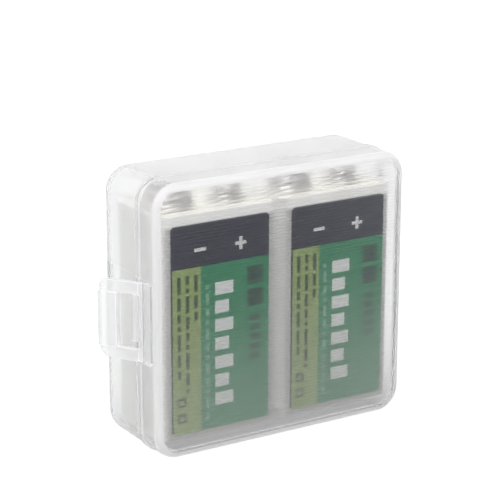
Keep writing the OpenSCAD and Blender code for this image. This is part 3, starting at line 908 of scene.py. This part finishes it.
for side in ("left", "right"):
    make_label(side + "_front_label", INKS, label_print(), -1)
    make_label(side + "_back_label", INKS, back_print(), 1)
    for part, material in FINISH.items():
        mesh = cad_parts[side + "_" + part].data
        mesh.materials.clear()
        mesh.materials.append(material)

# ---- Floor, light and camera ----

# The floor's own light, in front of and behind the case, and where it changes in metres
FLOOR_FRONT, FLOOR_BACK, FLOOR_FADE = 0.15, 0.55, (-0.03, 0.05)
# What the camera itself sees of the floor: a brighter glow, with this share
FLOOR_WHITE, WHITE_SHARE = 1.1, 0.85
# Half the floor's width in millimetres
FLOOR_HALF = 3000
# How the sky's strength leans towards a direction, and its middle
SKY_LEAN, SKY_LEVEL = (-0.08, 0.26, 0.14), 0.74


def make_floor():
    """A pale sheet that glows as painted light, more behind the case than in front, in place
    of a lamp behind it. Its own shade shows in the plastic, and the camera sees it nearly
    white, as the photograph has it."""
    material, tree, shader = material_nodes("pale_floor")
    cloud = noise(tree, 12, 3)
    tint = mix_colours(tree, spread(tree, cloud, 0, 1), (0.5, 0.5, 0.5), (0.52, 0.52, 0.52))
    tree.links.new(tint, shader.inputs["Base Color"])
    shader.inputs["Roughness"].default_value = 0.7
    shader.inputs["Specular IOR Level"].default_value = 0.0
    shader.inputs["Emission Color"].default_value = WHITE
    # The floor's emission is painted light, brighter behind the case than in front
    tree.links.new(ramp(tree, axis(tree, "Y"), *FLOOR_FADE, FLOOR_FRONT, FLOOR_BACK),
                   shader.inputs["Emission Strength"])
    glow = tree.nodes.new("ShaderNodeEmission")
    glow.inputs["Strength"].default_value = FLOOR_WHITE
    path = tree.nodes.new("ShaderNodeLightPath")
    share = calculate(tree, "MULTIPLY", path.outputs["Is Camera Ray"], WHITE_SHARE)
    surface = mix_shaders(tree, share, shader.outputs[0], glow.outputs[0])
    tree.links.new(surface, tree.nodes["Material Output"].inputs["Surface"])
    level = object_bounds()[0].z / MM
    corners = [(-FLOOR_HALF, -FLOOR_HALF, level), (FLOOR_HALF, -FLOOR_HALF, level),
               (FLOOR_HALF, FLOOR_HALF, level), (-FLOOR_HALF, FLOOR_HALF, level)]
    floor = new_object("floor", corners, [(0, 1, 2, 3)], [material])
    floor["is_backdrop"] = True


def make_lamp(name, place, size, power):
    """A round soft box that faces the middle of the case."""
    data = bpy.data.lights.new(name, "AREA")
    data.shape, data.size, data.energy = "DISK", size, power
    lamp = bpy.data.objects.new(name, data)
    target = Vector((0, 0, MID_Z * MM))
    lamp.location = place
    lamp.rotation_mode = "QUATERNION"
    lamp.rotation_quaternion = (target - lamp.location).to_track_quat("-Z", "Y")
    bpy.context.scene.collection.objects.link(lamp)


def make_sky():
    """Soft light from all round, brighter from above and behind, and white to the camera."""
    world = bpy.data.worlds.new("studio")
    world.use_nodes = True
    tree = world.node_tree
    shade = tree.nodes["Background"]
    shade.inputs["Color"].default_value = WHITE
    place = tree.nodes.new("ShaderNodeTexCoord")
    lean = tree.nodes.new("ShaderNodeVectorMath")
    lean.operation = "DOT_PRODUCT"
    lean.inputs[1].default_value = SKY_LEAN
    tree.links.new(place.outputs["Generated"], lean.inputs[0])
    level = calculate(tree, "ADD", lean.outputs["Value"], SKY_LEVEL)
    path = tree.nodes.new("ShaderNodeLightPath")
    white = tree.nodes.new("ShaderNodeMix")
    white.inputs["B"].default_value = 1.0
    tree.links.new(path.outputs["Is Camera Ray"], white.inputs["Factor"])
    tree.links.new(level, white.inputs["A"])
    tree.links.new(white.outputs["Result"], shade.inputs["Strength"])
    world.cycles.sampling_method = "NONE"
    bpy.context.scene.world = world


def make_camera():
    """The photograph's camera, found from the outline of the case."""
    yaw, pitch, roll = (math.radians(a) for a in (32.2372, 16.4771, 0.1685))
    place = (-0.202620, -0.320052, 0.148165)
    focal_px, frame_px, sensor = 1953.7, 500, 36
    view = Vector((math.sin(yaw) * math.cos(pitch), math.cos(yaw) * math.cos(pitch),
                   -math.sin(pitch)))
    level = Vector((math.cos(yaw), -math.sin(yaw), 0))
    up = level.cross(view)
    right = level * math.cos(roll) + up * math.sin(roll)
    up = up * math.cos(roll) - level * math.sin(roll)
    data = bpy.data.cameras.new("camera")
    data.sensor_width = sensor
    data.lens = focal_px * sensor / frame_px
    camera = bpy.data.objects.new("camera", data)
    camera.matrix_world = Matrix((
        (right.x, up.x, -view.x, place[0]), (right.y, up.y, -view.y, place[1]),
        (right.z, up.z, -view.z, place[2]), (0, 0, 0, 1)))
    bpy.context.scene.collection.objects.link(camera)
    bpy.context.scene.camera = camera


make_floor()
make_sky()
make_lamp("key", (-0.25, -0.1, 0.75), 0.5, 2.7)
make_camera()
scene = bpy.context.scene
scene.view_settings.view_transform = "Standard"
# A ray crosses many clear walls on its way through the case
scene.cycles.max_bounces = scene.cycles.transmission_bounces = 32
scene.cycles.glossy_bounces = scene.cycles.transparent_max_bounces = 32
scene.cycles.diffuse_bounces = 12

[[list(corner) for corner in box] for box in (cad_box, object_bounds())]
